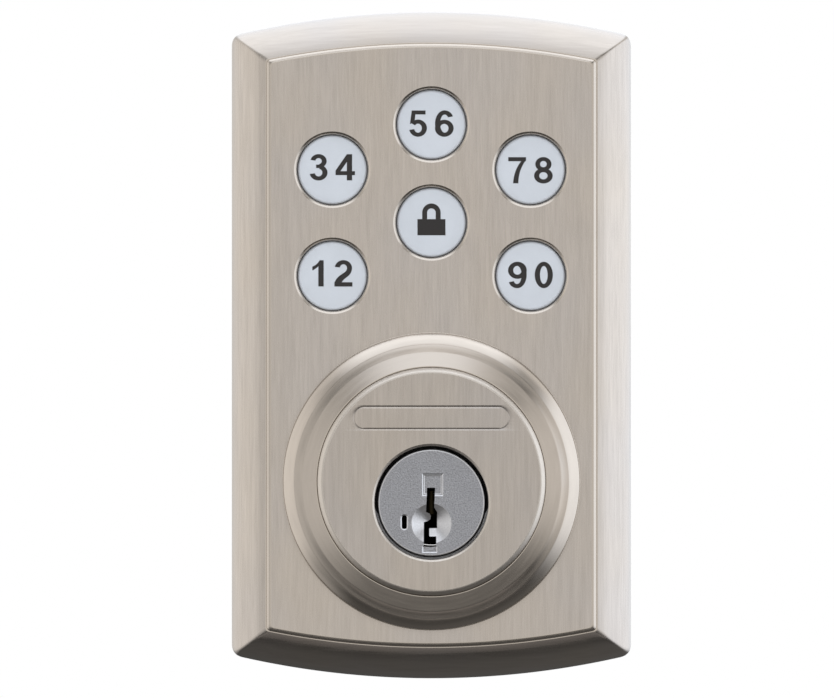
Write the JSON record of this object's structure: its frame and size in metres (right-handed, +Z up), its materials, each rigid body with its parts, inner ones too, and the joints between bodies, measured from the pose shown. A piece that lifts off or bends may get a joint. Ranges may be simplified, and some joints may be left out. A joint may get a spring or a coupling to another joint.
{
  "type": "keypad door lock exterior",
  "caption": "Outside half of a keypad deadbolt: arched metal cover with round push keys above a key cylinder in a raised ring, with a torque blade at the back.",
  "frame": {"origin": "on the key cylinder's axis, in the plane of the door's outer face", "axes": "+X to the right seen from outside, +Y into the door along the cylinder's axis, +Z up"},
  "size_m": [0.0742, 0.085, 0.124],
  "materials": {
    "satin_nickel": "satin nickel plate, brushed",
    "cast_zinc": "as cast",
    "plug_zinc": "sandy, as cast",
    "steel": "zinc plated",
    "brass": "machined",
    "keycap": "translucent white, satin",
    "silicone": "translucent, matt",
    "black_rubber": "matt",
    "circuit_board": "green solder mask",
    "black_plastic": "moulded",
    "led": "clear epoxy"
  },
  "bodies": {
    "housing": {"escutcheon_shell": "satin_nickel", "cylinder_guard": "satin_nickel", "guard_seal": "black_rubber", "cylinder_body": "cast_zinc", "keypad_mat": "silicone", "keypad_board": "circuit_board", "return_dome_12": "silicone", "return_dome_34": "silicone", "return_dome_56": "silicone", "return_dome_78": "silicone", "return_dome_90": "silicone", "return_dome_lock": "silicone", "snap_switch_12": "steel", "snap_switch_34": "steel", "snap_switch_56": "steel", "snap_switch_78": "steel", "snap_switch_90": "steel", "snap_switch_lock": "steel", "backlight_led_1": "led", "backlight_led_2": "led", "backlight_led_3": "led", "controller_chip": "black_plastic", "cable_socket": "black_plastic", "board_carrier": "black_plastic", "carrier_screw_1": "steel", "carrier_screw_2": "steel", "carrier_screw_3": "steel", "carrier_screw_4": "steel", "back_plate": "steel", "shell_screw_1": "steel", "shell_screw_2": "steel", "shell_screw_3": "steel", "shell_screw_4": "steel", "cylinder_screw_1": "steel", "cylinder_screw_2": "steel", "bolt_post_left": "steel", "bolt_post_right": "steel", "cable_grommet": "black_rubber", "door_gasket": "black_rubber"},
    "key_12": {"key_12": "keycap"},
    "key_34": {"key_34": "keycap"},
    "key_56": {"key_56": "keycap"},
    "key_78": {"key_78": "keycap"},
    "key_90": {"key_90": "keycap"},
    "key_lock": {"key_lock": "keycap"},
    "plug": {"plug": "plug_zinc", "pin_cover": "brass", "sidebar": "steel", "plug_clip": "steel", "torque_blade": "steel", "pin_spring_1": "steel", "pin_spring_2": "steel", "pin_spring_3": "steel", "pin_spring_4": "steel", "pin_spring_5": "steel"},
    "tumbler_pin_1": {"tumbler_pin_1": "brass"},
    "tumbler_pin_2": {"tumbler_pin_2": "brass"},
    "tumbler_pin_3": {"tumbler_pin_3": "brass"},
    "tumbler_pin_4": {"tumbler_pin_4": "brass"},
    "tumbler_pin_5": {"tumbler_pin_5": "brass"}
  },
  "joints": [
    {"name": "press_12", "type": "slide", "parent": "housing", "child": "key_12", "axis": [0, 1, 0], "range_m": [0, 0.0008], "stiffness_N_per_m": 600, "springref_m": -0.0025, "deforming": ["return_dome_12"]},
    {"name": "press_34", "type": "slide", "parent": "housing", "child": "key_34", "axis": [0, 1, 0], "range_m": [0, 0.0008], "stiffness_N_per_m": 600, "springref_m": -0.0025, "deforming": ["return_dome_34"]},
    {"name": "press_56", "type": "slide", "parent": "housing", "child": "key_56", "axis": [0, 1, 0], "range_m": [0, 0.0008], "stiffness_N_per_m": 600, "springref_m": -0.0025, "deforming": ["return_dome_56"]},
    {"name": "press_78", "type": "slide", "parent": "housing", "child": "key_78", "axis": [0, 1, 0], "range_m": [0, 0.0008], "stiffness_N_per_m": 600, "springref_m": -0.0025, "deforming": ["return_dome_78"]},
    {"name": "press_90", "type": "slide", "parent": "housing", "child": "key_90", "axis": [0, 1, 0], "range_m": [0, 0.0008], "stiffness_N_per_m": 600, "springref_m": -0.0025, "deforming": ["return_dome_90"]},
    {"name": "press_lock", "type": "slide", "parent": "housing", "child": "key_lock", "axis": [0, 1, 0], "range_m": [0, 0.0008], "stiffness_N_per_m": 600, "springref_m": -0.0025, "deforming": ["return_dome_lock"]},
    {"name": "plug_turn", "type": "hinge", "parent": "housing", "child": "plug", "pos_m": [0, 0, 0], "axis": [0, 1, 0], "range_deg": [-90, 90]},
    {"name": "pin_lift_1", "type": "slide", "parent": "plug", "child": "tumbler_pin_1", "axis": [0, 0, 1], "range_m": [0, 0.0015], "stiffness_N_per_m": 80, "springref_m": -0.002, "deforming": ["pin_spring_1"]},
    {"name": "pin_lift_2", "type": "slide", "parent": "plug", "child": "tumbler_pin_2", "axis": [0, 0, 1], "range_m": [0, 0.0015], "stiffness_N_per_m": 80, "springref_m": -0.002, "deforming": ["pin_spring_2"]},
    {"name": "pin_lift_3", "type": "slide", "parent": "plug", "child": "tumbler_pin_3", "axis": [0, 0, 1], "range_m": [0, 0.0015], "stiffness_N_per_m": 80, "springref_m": -0.002, "deforming": ["pin_spring_3"]},
    {"name": "pin_lift_4", "type": "slide", "parent": "plug", "child": "tumbler_pin_4", "axis": [0, 0, 1], "range_m": [0, 0.0015], "stiffness_N_per_m": 80, "springref_m": -0.002, "deforming": ["pin_spring_4"]},
    {"name": "pin_lift_5", "type": "slide", "parent": "plug", "child": "tumbler_pin_5", "axis": [0, 0, 1], "range_m": [0, 0.0015], "stiffness_N_per_m": 80, "springref_m": -0.002, "deforming": ["pin_spring_5"]}
  ]
}
